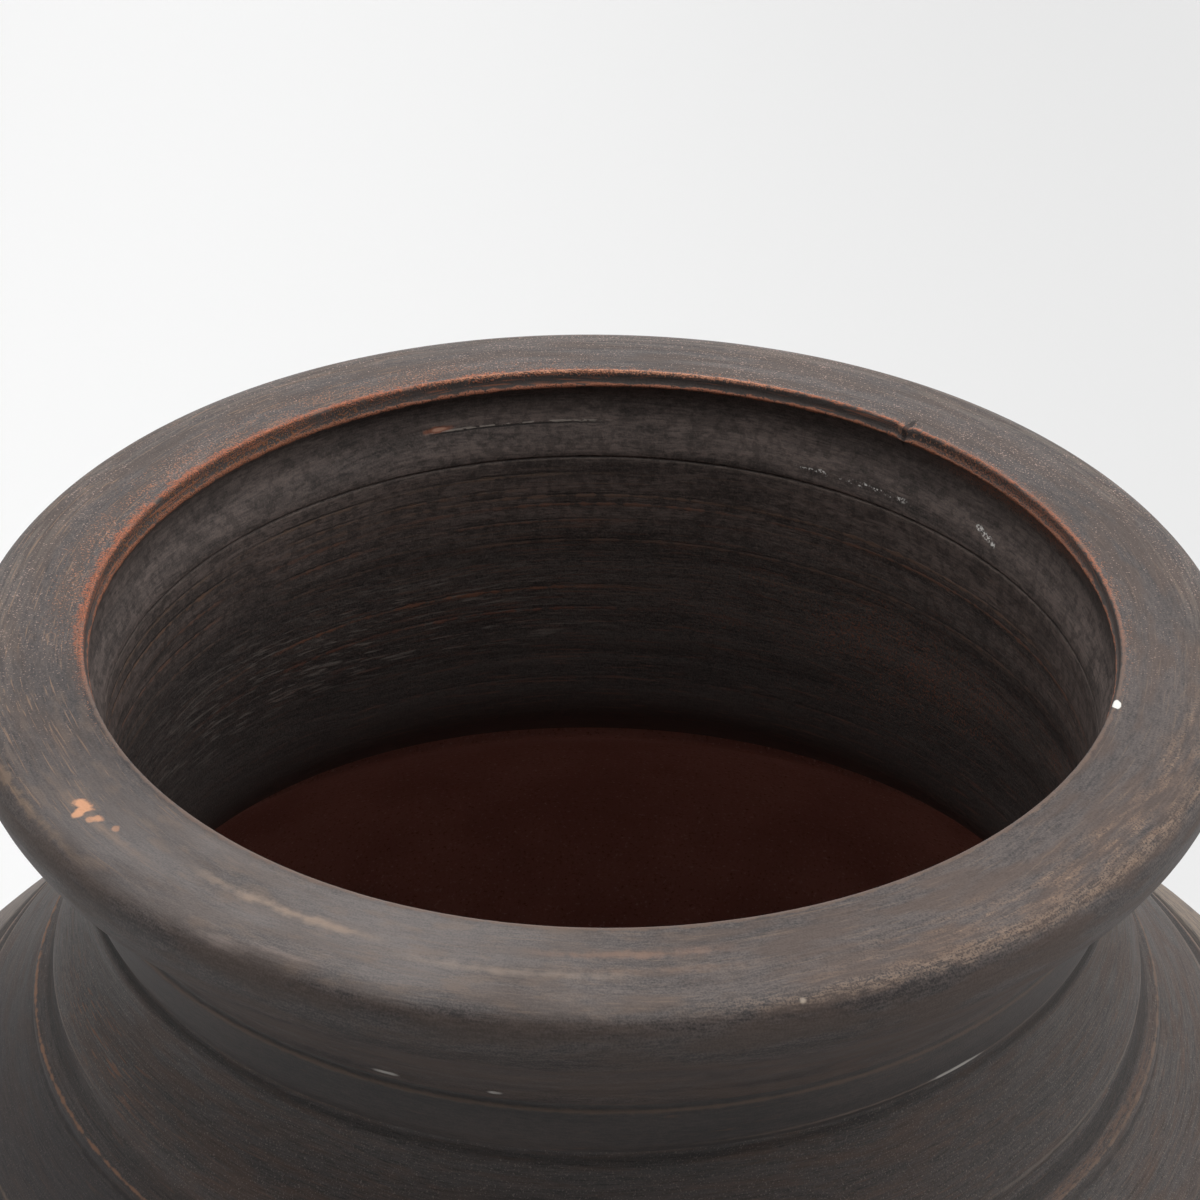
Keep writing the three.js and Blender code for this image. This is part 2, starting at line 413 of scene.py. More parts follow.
def near_ring(coat, ring, reach, soft, ragged=0.0, torn_by="chips"):
    """How near a point lies to a ring of (radius, height), with an edge torn by a pattern if asked."""
    tree = coat["tree"]
    ring_place = (ring[0], 0, ring[1])
    away = node(tree, "VectorMath", {0: coat["as_turned"], 1: ring_place}, "Value", operation="DISTANCE")
    if ragged:
        away = node(tree, "Math", {0: coat[torn_by], 1: ragged, 2: away}, operation="MULTIPLY_ADD")
    return shown(coat, (away, reach + soft, reach - soft))


def arc(coat, middle, half, soft):
    """The part of the way round that lies within half of a middle direction, fading over soft degrees."""
    way = math.radians(middle)
    turn = node(
        coat["tree"], "VectorMath", {0: coat["around"], 1: (math.cos(way), math.sin(way), 0)},
        "Value", operation="DOT_PRODUCT",
    )
    outer, inner = math.cos(math.radians(half + soft)), math.cos(math.radians(half - soft))
    return shown(coat, (turn, outer, inner))


def specks(coat, size, share, seed=0):
    """Irregular specks of a size in millimetres. The share, from 0 to 1, says how thickly they lie."""
    tree = coat["tree"]
    apart = (7 * seed, 3 * seed, 5 * seed)
    moved = node(tree, "VectorMath", {0: coat["spot"], 1: apart}, operation="ADD")
    spots = node(tree, "TexNoise", {"Vector": moved, "Scale": 1 / size, "Detail": 1}, "Fac")
    thickest = 0.3
    level = node(tree, "Math", {0: share, 1: thickest, 2: spots}, operation="MULTIPLY_ADD")
    return shown(coat, (level, 0.68, 0.76))


def mark(coat, radius, height, degrees, length, width, ragged=0.5, soft=0.1):
    """A single ragged mark on the surface, long round the pot and narrow across."""
    tree = coat["tree"]
    way = math.radians(degrees)
    middle = (radius * math.cos(way), radius * math.sin(way), height)
    off = node(tree, "VectorMath", {0: coat["spot"], 1: middle}, operation="SUBTRACT")
    along = (-math.sin(way) * 2 / length, math.cos(way) * 2 / length, 0)
    out = (math.cos(way) * 2 / width, math.sin(way) * 2 / width, 0)
    up = (0, 0, 2 / width)
    shares = [
        node(tree, "VectorMath", {0: off, 1: axis}, "Value", operation="DOT_PRODUCT")
        for axis in (along, out, up)
    ]
    offset = node(tree, "CombineXYZ", dict(enumerate(shares)))
    away = node(tree, "VectorMath", {0: offset}, "Value", operation="LENGTH")
    rough_away = node(tree, "Math", {0: coat["chips"], 1: ragged, 2: away}, operation="MULTIPLY_ADD")
    return shown(coat, (rough_away, 1 + soft, 1 - soft))


# Black slip on red earthenware: liquid clay stained dark, brushed on as the pot turned and then
# rubbed back. It dries matt with a dull sheen, warm grey-black, smeared and grainy, with hair-fine
# brush lines round the pot and clay coming through as specks, streaks and on every ridge.
def black_slip(name, dark, pale, smear, hairs, strokes, clouds, grain):
    """The brushed coat of one surface, as the material and the sockets that its wear is laid on. The
    last five values say how much each pattern counts in its tone, and they add up to 1."""
    material, tree, spot = fresh_material(name)
    flat = node(tree, "VectorMath", {0: spot, 1: (1, 1, 0)}, operation="MULTIPLY")
    coat = {"material": material, "tree": tree, "spot": spot}
    coat["around"] = node(tree, "VectorMath", {0: flat}, operation="NORMALIZE")
    coat["as_turned"] = node(tree, "Attribute", {}, "Vector", attribute_name="as_turned")
    coat["radius"] = node(tree, "SeparateXYZ", {0: coat["as_turned"]}, "X")
    coat["height"] = node(tree, "SeparateXYZ", {0: coat["as_turned"]}, "Z")
    sway_size = 60
    sway_amount = 7
    sway = node(tree, "TexNoise", {"Vector": spot, "Scale": 1 / sway_size, "Detail": 1}, "Fac")
    sway = node(tree, "Math", {0: sway, 1: sway_amount}, operation="MULTIPLY")
    coat["swayed_height"] = node(tree, "Math", {0: coat["height"], 1: sway}, operation="ADD")
    coat["swayed_radius"] = node(tree, "Math", {0: coat["radius"], 1: sway}, operation="ADD")
    for pattern, width, detail, middle in (
        ("grain", 0.4, 2, 0), ("chips", 2.4, 4, 0.5), ("crumbs", 0.55, 3, 0.5),
    ):
        bits = node(tree, "TexNoise", {"Vector": spot, "Scale": 1 / width, "Detail": detail}, "Fac")
        coat[pattern] = node(tree, "Math", {0: bits, 1: middle}, operation="SUBTRACT")
    coat["smear"] = brushed(coat, 0.45, 2.6, 3, seed=2)
    coat["hairs"] = brushed(coat, 0.4, 45, 2)
    coat["strokes"] = brushed(coat, 4, 90, 2, seed=4)
    coat["clouds"] = brushed(coat, 14, 40, 4, seed=8)
    tone = 0.0
    relief = 0.0
    add = {"operation": "MULTIPLY_ADD"}
    for pattern, share, lift in (
        ("smear", smear, 0.05), ("hairs", hairs, 0.03), ("strokes", strokes, 0.2),
        ("clouds", clouds, 0.3), ("grain", grain, 0.05),
    ):
        tone = node(tree, "Math", {0: coat[pattern], 1: share, 2: tone}, **add)
        relief = node(tree, "Math", {0: coat[pattern], 1: lift, 2: relief}, **add)
    coat["relief"] = relief
    shade = shown(coat, (tone, 0.37, 0.63))
    coat["colour"] = node(
        tree, "Mix", {0: shade, 6: linear(dark), 7: linear(pale)}, 2, data_type="RGBA",
    )
    coat["rough"] = node(tree, "MapRange", {"Value": tone, "To Min": 0.45, "To Max": 0.75})
    return coat


def fired(coat):
    """Links a finished coat to its surface and returns the material."""
    looks = {"Base Color": coat["colour"], "Roughness": coat["rough"], "IOR": 1.5}
    surfaced(coat["tree"], looks, coat["relief"])
    return coat["material"]


lower_outline = [
    (95, floor_top), (wall_step, floor_top), (wall_step, wall_seat),
    *swept((foot_radius, wall_seat), (belly_radius, belly_level), 40, 90, 34),
    (lower_wall_step, belly_level), (lower_wall_step, belly_level + tongue),
    *swept((184, belly_level + tongue), (95, floor_top), -90, -140, 34)[:-1],
]
body_slip = black_slip(
    "black_slip_body", "#322c2b", "#584c47",
    smear=0.3, hairs=0.2, strokes=0.15, clouds=0.2, grain=0.15,
)
body_specks = specks(body_slip, 0.45, 0.12, seed=1)
lay(body_slip, "#a38f80", 0.8, body_specks, 0.6)
body_streaks = lines(body_slip, 0.8, 26, 3, 6, 0.6, 0.74)
lay(body_slip, "#8a6a54", 0.82, body_streaks, 0.4)
lower_body = ring_piece("lower_body_thrown", lower_outline, body_slip["material"], bare_clay)
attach(lower_body, "pot")
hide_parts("lower_body")


# Upper body: the thrown ring from the widest line to the shoulder join. The wall turns in to the slope
# of the shoulder, and the lower of two grooves pressed round the join is cut along its top edge.
shoulder_level = 243
shoulder_join = 141.4
shoulder_step = 132
upper_outline = [
    (184, belly_level + tongue), (lower_wall_step, belly_level + tongue), (lower_wall_step, belly_level),
    *swept((belly_radius, belly_level), (146.6, 236.8), 90, 135, 30),
    (145.8, 237.3), (144.7, 237.6), (143.5, 238.0), (142.6, 238.7), (142.1, 239.6), (141.9, 240.6),
    (141.85, 241.6), (141.7, 242.4), (shoulder_join, shoulder_level),
    (shoulder_step, shoulder_level), (shoulder_step, shoulder_level + tongue),
    (122.4, shoulder_level + tongue), (122.4, 243), (124.4, 241),
    *swept((124.4, 241), (184, belly_level + tongue), -37, -90, 26)[1:-1],
]
# Pale tan on the back and sides of the upper wall: slip rubbed thin and dusty, partly a painted sheen.
thin_slip_and_sheen_zone = shown(body_slip, ("height", 195, 230), arc(body_slip, 90, 110, 30), ("smear", 0.36, 0.58))
lay(body_slip, "#8a7c70", 0.78, thin_slip_and_sheen_zone, 0.5)
lay(body_slip, "#94826f", 0.78, thin_slip_and_sheen_zone, arc(body_slip, 15, 50, 40), 0.5)
# Dark in the lower join groove: slip lying thick there, and painted shade.
join_groove_slip_and_shade = near_ring(body_slip, (144.1, 238.2), 2.7, 0.8, 1.0)
lay(body_slip, "#2a2625", 0.8, join_groove_slip_and_shade, 0.75)
join_crest = near_ring(body_slip, (141.5, 242.9), 0.6, 0.3, 0.8)
lay(body_slip, "#8f7361", 0.82, join_crest, 0.5)
upper_body = ring_piece("upper_body_thrown", upper_outline, fired(body_slip), bare_clay)
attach(upper_body, "pot")
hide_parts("upper_body")


# Shoulder: the hollow flare from the body up to the neck, a thrown ring. A second groove follows its
# lower join, a shallow channel with a raised lip runs half way up, and the slip ends at its inner foot.
collar_level = 304
neck_bore = 102.4
neck_step = 105.2
groove_top = 107.15
shoulder_outline = [
    (122.4, shoulder_level + tongue), (shoulder_step, shoulder_level + tongue),
    (shoulder_step, shoulder_level), (shoulder_join, shoulder_level),
    (141.0, 243.7), (140.2, 244.2), (139.0, 244.6), (137.9, 245.1), (137.25, 246.0), (137.0, 247.0),
    (136.9, 248.1), (136.5, 249.0),
    *swept((135.6, 249.9), (122.6, 262.9), 138, 122, 7),
    (121.55, 263.9), (120.95, 264.8), (120.75, 265.5), (120.85, 266.2), (120.8, 266.9), (120.4, 267.5),
    (119.8, 267.9), (119.0, 268.4), (118.1, 269.1), (117.3, 270.0), (116.65, 271.0), (116.1, 272.1),
    (115.65, 273.2), (115.35, 274.1), (115.4, 274.7), (115.8, 275.2), (116.15, 275.7), (116.1, 276.3),
    (115.8, 277.0),
    *swept((115.45, 277.9), (108.15, 298.4), 113, 93, 12),
    (108.1, 299.5), (107.95, 300.4), (107.65, 301.2), (107.25, 302.0), (106.95, 302.8), (106.95, 303.4),
    (groove_top, collar_level),
    (neck_step, collar_level), (neck_step, collar_level + tongue), (neck_bore, collar_level + tongue),
    *[(neck_bore, level) for level in range(305, 269, -2)],
    *swept((neck_bore, 270), (122.4, shoulder_level + tongue), -90, -37, 14)[1:-1],
]
flare_slip = black_slip(
    "black_slip_shoulder", "#2b2726", "#504846",
    smear=0.25, hairs=0.1, strokes=0.15, clouds=0.2, grain=0.3,
)
sides = node(
    flare_slip["tree"], "Math", {0: arc(flare_slip, 190, 24, 16), 1: arc(flare_slip, 348, 22, 16)},
    operation="MAXIMUM",
)
# Pale brush hairs at the two sides: the relief is the hairs, the pale colour is a painted sheen.
pale_hairs_and_sheen = lines(flare_slip, 0.3, 60, 3, 14, 0.5, 0.62)
lay(flare_slip, "#857b73", 0.75, pale_hairs_and_sheen, sides, 0.2, relief=0.05)
brown_mottle = lines(flare_slip, 3, 14, 5, 5, 0.44, 0.6)
lay(flare_slip, "#54433b", 0.8, brown_mottle, lines(flare_slip, 30, 70, 2, 18, 0.35, 0.6), 0.7)
fine_lines = lines(flare_slip, 0.28, 9, 3, 23, 0.46, 0.6)
lay(flare_slip, "#6e645e", 0.78, fine_lines, 0.2, relief=0.04)
dark_threads = lines(flare_slip, 0.3, 7, 3, 24, 0.52, 0.62)
lay(flare_slip, "#1f1c1b", 0.8, dark_threads, 0.35, relief=-0.04)
dust_specks = specks(flare_slip, 0.35, 0.22, seed=4)
lay(flare_slip, "#978b82", 0.8, dust_specks, 0.4)
brown_smears = lines(flare_slip, 1.2, 14, 5, 20, 0.5, 0.66)
lay(flare_slip, "#5d4a40", 0.82, brown_smears, 0.35)
clay_dashes = lines(flare_slip, 0.5, 8, 4, 6, 0.58, 0.7)
lay(flare_slip, "#765a4b", 0.84, clay_dashes, band(flare_slip, 252, 292, 8), 0.45)
left_dashes = lines(flare_slip, 0.55, 6, 3, 21, 0.54, 0.64)
lay(
    flare_slip, "#875f49", 0.84, left_dashes, band(flare_slip, 278, 289, 3),
    arc(flare_slip, 206, 9, 6), 0.6,
)
cool_left = arc(flare_slip, 208, 28, 20)
lay(flare_slip, "#2b292b", 0.7, cool_left, ("height", 276, 262), 0.6)
brown_share = shown(flare_slip, arc(flare_slip, 330, 45, 25), 0.3)
shoulder_specks = specks(flare_slip, 0.5, brown_share, seed=1)
lay(flare_slip, "#75604f", 0.8, shoulder_specks, 0.2)
channel_brown = near_ring(flare_slip, (119.3, 268.4), 1.2, 0.6, 1.2)
lay(flare_slip, "#7a5f50", 0.84, channel_brown, arc(flare_slip, 322, 22, 14), ("smear", 0.35, 0.6), 0.55)
cut_deep = node(
    flare_slip["tree"], "Math", {0: arc(flare_slip, 175, 25, 15), 1: arc(flare_slip, 350, 30, 20)},
    operation="MAXIMUM",
)
# Painted shade in the channel below its upper edge, deeper at the sides.
valley_shade = near_ring(flare_slip, (117.0, 271.3), 2.0, 0.7, 0.8)
lay(flare_slip, "#1d1a19", 0.8, valley_shade, 0.25)
lay(flare_slip, "#1d1a19", 0.8, valley_shade, cut_deep, 0.45)
# Dark in the groove under the collar at the sides: slip lying thick, and painted shade.
groove_dark_slip_and_shade = near_ring(flare_slip, (107.3, 302.2), 1.4, 1.0)
lay(flare_slip, "#1a1716", 0.8, groove_dark_slip_and_shade, sides, 0.5)
# Thin ring lines: tan where clay is worn through on the crests; dark in the hollow below the lip, the
# upper join groove and the groove under the collar, as slip lying thick with painted shade.
for ring, reach, soft, amount, code in (
    ((120.3, 267.7), 0.28, 0.25, 0.55, "#8a705f"), ((121.2, 264.9), 0.5, 0.4, 0.5, "#1d1a19"),
    ((138.9, 245.0), 1.9, 0.6, 0.5, "#1f1b1a"), ((140.9, 243.7), 0.4, 0.25, 0.5, "#8f7361"),
    ((136.2, 249.2), 0.4, 0.3, 0.4, "#83705f"), ((107.2, 302.4), 1.0, 0.8, 0.4, "#1a1716"),
):
    ring_line = near_ring(flare_slip, ring, reach, soft, 1.4)
    lay(flare_slip, code, 0.82, ring_line, amount)
# A painted highlight along the crest at the channel's upper edge, at the sides.
upper_edge_highlight = near_ring(flare_slip, (116.1, 276.0), 0.35, 0.3, 0.8)
lay(flare_slip, "#83766c", 0.82, upper_edge_highlight, cut_deep, 0.55)
ridge_orange = near_ring(flare_slip, (120.3, 267.7), 0.3, 0.25, 1.6)
lay(flare_slip, "#93694f", 0.84, ridge_orange, arc(flare_slip, 190, 35, 20), 0.6)


def hand_cut(shape):
    """Lets the channel wander up and down the slope, as it does when the tool is held by hand, and makes
    it shallower towards the front."""
    channel_level, channel_spread, slope, wander = 272, 7, 0.443, 1.2
    lip_radius, lip_level, lip_top, fall, front_fill = 120.7, 266.9, 276, 0.5, 0.6
    innermost = 112
    front_from, front_over, wander_turns = 0.4, 0.3, 1.7
    for corner in shape.verts:
        flat = Vector((corner.co.x, corner.co.y))
        if flat.length < innermost * mm:
            continue
        out = flat.normalized()
        level = corner.co.z / mm
        depth = lip_radius - fall * (level - lip_level) - flat.length / mm
        if lip_level < level < lip_top and depth > 0:
            flat += out * front_fill * depth * min(max((-out.y - front_from) / front_over, 0), 1) * mm
        near = bell(level, channel_level, channel_spread)
        drift = noise.noise(Vector((out.x * wander_turns + 4, out.y * wander_turns, 0.5)))
        shift = wander * near * drift * mm
        flat -= out * slope * shift
        corner.co = (flat.x, flat.y, corner.co.z + shift)


# The same slip inside the neck: wiped round by hand, so that it is smudged rather than lined. It is a
# dusty, mottled grey-brown under the lip and darker lower down, where painted shade makes it nearly
# black and painted light lifts it at the foot, with throwing lines scored in it and red clay in places.
bore_slip = black_slip(
    "black_slip_inside", "#262222", "#5c5450",
    smear=0.25, hairs=0.1, strokes=0.15, clouds=0.15, grain=0.35,
)
dry_wash = band(bore_slip, 316, 349, 7)
lay(bore_slip, "#7c6d67", 0.8, dry_wash, ("strokes", 0.1, 0.65), ("smear", 0.1, 0.7), 0.78)
dark_smears = lines(bore_slip, 0.6, 20, 5, 17, 0.48, 0.68)
lay(bore_slip, "#1c1919", 0.75, dark_smears, band(bore_slip, 296, 349, 4), 0.3)
wiped_clouds = lines(bore_slip, 3.5, 10, 5, 26, 0.46, 0.64)
lay(bore_slip, "#2a2523", 0.75, wiped_clouds, band(bore_slip, 310, 347, 4), 0.4)
lay(bore_slip, "#231f1d", 0.75, ("chips", -0.03, 0.1), band(bore_slip, 308, 350, 5), 0.4)
lay(bore_slip, "#82716a", 0.82, ("crumbs", 0.02, 0.14), band(bore_slip, 312, 346, 6), 0.25)
brown_lines = lines(bore_slip, 0.5, 40, 4, 19, 0.57, 0.68)
lay(bore_slip, "#6e574a", 0.82, brown_lines, band(bore_slip, 288, 332, 6), 0.4)
# Painted light: lighter towards the inner foot, which the lamps reach only by bounce.
foot_painted_light = shown(bore_slip, ("height", 282, 258))
lay(bore_slip, "#3e332f", 0.75, foot_painted_light, 0.8)
# Painted shade: darker lower down the neck, away from the mouth.
low_painted_shade = shown(bore_slip, ("height", 302, 280))
lay(bore_slip, "#1a1716", 0.75, low_painted_shade, 0.35)
grey_smudges = lines(bore_slip, 0.6, 9, 5, 6, 0.53, 0.66)
lay(
    bore_slip, "#8d857e", 0.8, grey_smudges, band(bore_slip, 284, 306, 6),
    arc(bore_slip, 128, 28, 18), 0.5,
)
red_zone = shown(
    bore_slip, band(bore_slip, 280, 312, 10), arc(bore_slip, 40, 28, 24), ("clouds", 0.35, 0.6),
)
red_specks = specks(bore_slip, 0.5, shown(bore_slip, red_zone, 0.45), seed=2)
lay(bore_slip, "#84523e", 0.85, red_specks, red_zone, 0.6)
red_streaks = lines(bore_slip, 0.6, 14, 4, 9, 0.55, 0.68)
lay(
    bore_slip, "#6c483b", 0.85, red_streaks, band(bore_slip, 262, 318, 10),
    arc(bore_slip, 60, 75, 25), 0.4,
)
for line_height, middle, half, line_dark, edge_pale, edge_code in (
    (334.0, 90, 140, 0.8, 0.2, "#7d6f64"), (330.2, 145, 50, 0.85, 0.5, "#7d6452"),
    (326.4, 150, 45, 0.85, 0.6, "#80604c"), (324.3, 80, 60, 0.3, 0.7, "#7b6152"),
    (322.0, 80, 75, 0.3, 0.75, "#785444"), (317.6, 140, 50, 0.7, 0.6, "#785444"),
    (312.2, 90, 70, 0.4, 0.6, "#6a5145"), (299.8, 118, 22, 0.5, 0.8, "#80543f"),
    (294.0, 118, 26, 0.5, 0.7, "#74493a"), (274.5, 70, 80, 0.4, 0.3, "#5e3e33"),
):
    along_line = shown(bore_slip, arc(bore_slip, middle, half, 14), ("clouds", 0.3, 0.5))
    line = near_ring(bore_slip, (neck_bore, line_height), 0.22, 0.2, 1.2)
    lay(bore_slip, "#151212", 0.8, line, along_line, line_dark, relief=-0.05)
    line_edge = near_ring(bore_slip, (neck_bore, line_height - 0.5), 0.25, 0.25, 2.0)
    lay(bore_slip, edge_code, 0.84, line_edge, along_line, edge_pale, relief=0.03)
slip_end = shown(bore_slip, ("height", 248.5, 246))
lay(bore_slip, "#9c7971", 0.92, slip_end)

shoulder = ring_piece(
    "shoulder_thrown", shoulder_outline, fired(flare_slip), bore_slip["material"], worked=hand_cut,
)
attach(shoulder, "pot")
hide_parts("shoulder")


# Neck collar: a short thrown ring that swells a little between two grooves. Both its joins were run
# over with a pointed tool, which left the wide groove below it and the fine line above.
rim_level = 317
rim_step = 105.95
rim_join = 109.88
collar_outline = [
    (neck_bore, collar_level + tongue), (neck_step, collar_level + tongue), (neck_step, collar_level),
    (groove_top, collar_level), (107.5, 304.6), (107.85, 305.2), (108.15, 305.9), (108.4, 306.8),
    (108.75, 308.3), (109.1, 310.1), (109.4, 311.9), (109.6, 313.4),
    (109.68, 314.6), (109.72, 315.4), (109.75, 316.0), (109.8, 316.5),
    (rim_join, rim_level), (rim_step, rim_level), (rim_step, rim_level + tongue),
    (neck_bore, rim_level + tongue),
    *[(neck_bore, level) for level in range(318, 307, -2)],
]
collar_slip = black_slip(
    "black_slip_neck_collar", "#2b2726", "#4b423f",
    smear=0.3, hairs=0.05, strokes=0.2, clouds=0.25, grain=0.2,
)
collar_dashes = lines(collar_slip, 0.6, 9, 4, 6, 0.62, 0.74)
lay(collar_slip, "#7a5c4c", 0.84, collar_dashes, 0.4)
fine_ridge = near_ring(collar_slip, (109.72, 315.4), 0.4, 0.4, 0.8)
lay(collar_slip, "#7a6455", 0.8, fine_ridge, 0.55)
# A painted highlight on the collar's lower edge above the groove, on the right.
groove_edge_highlight = near_ring(collar_slip, (107.95, 305.5), 0.35, 0.3, 0.7)
lay(collar_slip, "#837166", 0.72, groove_edge_highlight, arc(collar_slip, 325, 32, 18), 0.6)
groove_glint = mark(collar_slip, 107.9, 305.5, 310.25, 12, 1.4, 0.6, 0.4)
lay(collar_slip, "#cfcac4", 0.5, groove_glint, 0.8)
neck_collar = ring_piece(
    "neck_collar_thrown", collar_outline, fired(collar_slip), bore_slip["material"],
)
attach(neck_collar, "pot")
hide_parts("neck_collar")


# Rim: the heavy turned-out mouth of the pot, thrown last and set on the collar. It has a sloping
# underside, a round edge, a nearly flat top, two fine ridges inside the lip and a cove below them.
edge_level = 347.7
edge_radius = 130
lower_round = 15.5
upper_round = 5.5
rim_outline = [
    (neck_bore, rim_level + tongue), (rim_step, rim_level + tongue), (rim_step, rim_level),
    (rim_join, rim_level), (109.98, 317.4), (110.15, 317.9), (110.4, 318.5), (110.75, 319.2),
    (111.2, 320.1), (112, 321.4), (113.5, 323.3), (115, 325.0), (116.75, 326.95), (118.5, 328.9),
    (120.25, 330.9), (122, 332.9), (123.4, 334.5),
]
for turns, bend in ((range(-40, 1, 5), lower_round), (range(9, 91, 9), upper_round)):
    for turn in turns:
        way = math.radians(turn)
        across = edge_radius - bend + bend * math.cos(way)
        rim_outline.append((across, edge_level + bend * math.sin(way)))
rim_outline += [
    (123.4, 353.3), (122.3, 353.38), (121.2, 353.5), (120.1, 353.62), (119, 353.7), (117.9, 353.78),
    (116.8, 353.9), (115.7, 354.02), (114.6, 354.1), (113.5, 354.18), (112.4, 354.3), (111.3, 354.42),
    (110.2, 354.48), (109.2, 354.52), (108.2, 354.58), (107.4, 354.6), (106.8, 354.65), (106.4, 354.78),
    (106.05, 354.94), (105.65, 355.0), (105.32, 354.86), (105.15, 354.5), (105.1, 354.0),
    (105.05, 353.5), (104.95, 352.95), (104.75, 352.5), (104.5, 352.2), (104.42, 351.9),
    (104.48, 351.55), (104.65, 351.1), (104.85, 350.4), (105.05, 349.6), (105.2, 348.7),
    (105.28, 347.7), (105.3, 346.7), (105.22, 345.7), (105.07, 344.6), (104.87, 343.4), (104.6, 342.2),
    (104.2, 341), (103.75, 339.7), (103.3, 338.4), (102.9, 337), (102.6, 335.7), (102.42, 334.6),
    (102.46, 334.3), (102.58, 334.1), (102.58, 333.9),
    (102.46, 333.7), (neck_bore, 333.3), (neck_bore, 332),
    *[(neck_bore, level) for level in range(331, 320, -2)],
]
rim_slip = black_slip(
    "black_slip_rim", "#2d2828", "#625854",
    smear=0.3, hairs=0.05, strokes=0.15, clouds=0.15, grain=0.35,
)
on_top = shown(rim_slip, ("height", 350.5, 352.5))
towards_edge = shown(rim_slip, ("radius", 115, 125))
back_half = arc(rim_slip, 95, 105, 25)

# Where the slip is thin, brown comes through in soft patches. Dust lies over the top in long fine lines
# round the back, and soft on the left at the front, where it is also a painted sheen.
brown_veil = lines(rim_slip, 4, 16, 5, 5, 0.42, 0.6)
lay(rim_slip, "#55473f", 0.78, brown_veil, 0.5)
lay(rim_slip, "#5f4b41", 0.8, brown_veil, arc(rim_slip, 335, 45, 25), 0.2)
left_dark = arc(rim_slip, 205, 16, 14)
lay(rim_slip, "#2d2829", 0.7, left_dark, on_top, 0.35)
right_dark = arc(rim_slip, 10, 45, 25)
lay(rim_slip, "#2d2828", 0.7, right_dark, on_top, 0.15)
# The soft pale patch on the top at the front left: dust, with a painted sheen.
front_dust_and_sheen = arc(rim_slip, 240, 18, 20)
lay(rim_slip, "#86807e", 0.7, front_dust_and_sheen, ("clouds", 0.3, 0.6), on_top, 0.35)
dust_lines = lines(rim_slip, 0.6, 60, 4, 15, 0.46, 0.62)
lay(rim_slip, "#7f746b", 0.78, dust_lines, towards_edge, back_half, on_top, 0.4, relief=0.03)
dark_lines = lines(rim_slip, 0.5, 50, 4, 16, 0.56, 0.7)
lay(rim_slip, "#2a2626", 0.75, dark_lines, back_half, on_top, 0.45, relief=-0.03)

# Clay showing through: long thin streaks on the left, a mottled patch on the right and single streaks
# along the front.
top_streaks = lines(rim_slip, 0.45, 22, 4, 6, 0.57, 0.68)
lay(rim_slip, "#937661", 0.82, top_streaks, arc(rim_slip, 165, 50, 25), on_top, 0.6)
right_patches = lines(rim_slip, 1.3, 7, 5, 7, 0.38, 0.72)
right_wear = shown(
    rim_slip, right_patches, ("grain", 0.3, 0.55), ("radius", 113, 123),
    arc(rim_slip, 322, 22, 18), on_top,
)
lay(rim_slip, "#967a66", 0.82, right_wear, 0.5)
right_grains = specks(rim_slip, 1.0, shown(rim_slip, right_wear, 0.45), seed=5)
lay(rim_slip, "#a98e76", 0.84, right_grains, right_wear, 0.4)
tan_mottle = lines(rim_slip, 2.5, 7, 4, 20, 0.5, 0.68)
lay(rim_slip, "#7d6a5c", 0.8, tan_mottle, arc(rim_slip, 235, 40, 20), on_top, 0.3)
lay(rim_slip, "#8f7866", 0.82, top_streaks, arc(rim_slip, 345, 95, 30), on_top, 0.22)
crest_radius, crest_level, top_fall = 105.5, 354.95, 0.088
for streak_radius, middle, half, amount, code in (
    (115.4, 240, 8, 0.6, "#a08b7a"), (118.3, 262, 9, 0.4, "#97877b"), (112.7, 273, 7, 0.45, "#927260"),
    (117.0, 276, 6, 0.3, "#8f7462"), (119.6, 218, 5, 0.35, "#927a68"),
):
    streak_level = crest_level - top_fall * (streak_radius - crest_radius)
    streak = near_ring(rim_slip, (streak_radius, streak_level), 0.6, 1.0, 3.5)
    lay(rim_slip, code, 0.82, streak, arc(rim_slip, middle, half, 4), amount)
# A tan band on the round corner at the right: clay rubbed through, with a painted highlight.
corner_rub_and_highlight = near_ring(rim_slip, (127.4, 352.2), 1.3, 1.2, 3.5)
lay(
    rim_slip, "#98816f", 0.8, corner_rub_and_highlight, arc(rim_slip, 308, 22, 12),
    ("smear", 0.35, 0.6), ("grain", 0.35, 0.55), 0.6,
)
left_rub = near_ring(rim_slip, (127.4, 352.2), 0.7, 0.7, 4)
lay(rim_slip, "#927a66", 0.8, left_rub, arc(rim_slip, 203, 12, 8), 0.45)
for radius, height, degrees, length, width in (
    (127.6, 352.1, 237.5, 8, 2.2), (125.6, 352.8, 243, 13, 1.8),
):
    burr_rub = mark(rim_slip, radius, height, degrees, length, width, 1.6, 0.7)
    lay(rim_slip, "#9a8a82", 0.75, burr_rub, rim_slip["smear"], 0.5)
corner_dot = mark(rim_slip, 127.7, 351.9, 286.75, 1.3, 1.2, 1.4, 0.5)
lay(rim_slip, "#c9b8a6", 0.7, corner_dot, 0.6)

